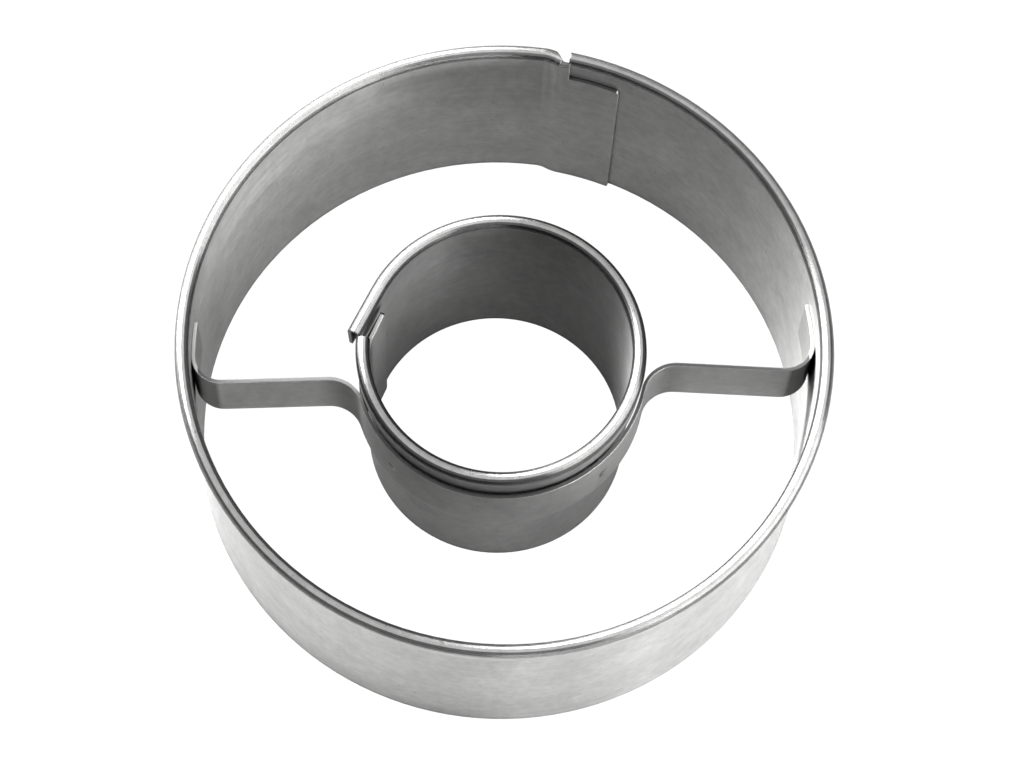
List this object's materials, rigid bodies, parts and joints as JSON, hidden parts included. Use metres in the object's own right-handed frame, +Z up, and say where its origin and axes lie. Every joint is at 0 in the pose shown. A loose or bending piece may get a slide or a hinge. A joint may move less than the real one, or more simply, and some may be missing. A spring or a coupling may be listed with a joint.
{
  "type": "doughnut cutter",
  "caption": "Doughnut cutter of stainless strip: a hemmed outer ring and a smaller hemmed inner ring, joined by a bent strip welded between them.",
  "frame": {"origin": "centre of the outer ring in the plane of the two cutting edges, which the cutter stands on", "axes": "+Z up along the outer ring's axis, from the cutting edges to the hemmed rims; +Y towards the outer ring's lap joint; +X to the right as seen from the front"},
  "size_m": [0.06, 0.06, 0.0237],
  "materials": {
    "outer_ring_steel": "satin rolled stainless strip",
    "inner_ring_steel": "satin rolled stainless strip",
    "bridge_steel": "satin rolled stainless strip"
  },
  "bodies": {
    "root": {"outer_ring": "outer_ring_steel", "inner_ring": "inner_ring_steel", "bridge": "bridge_steel"}
  },
  "joints": []
}
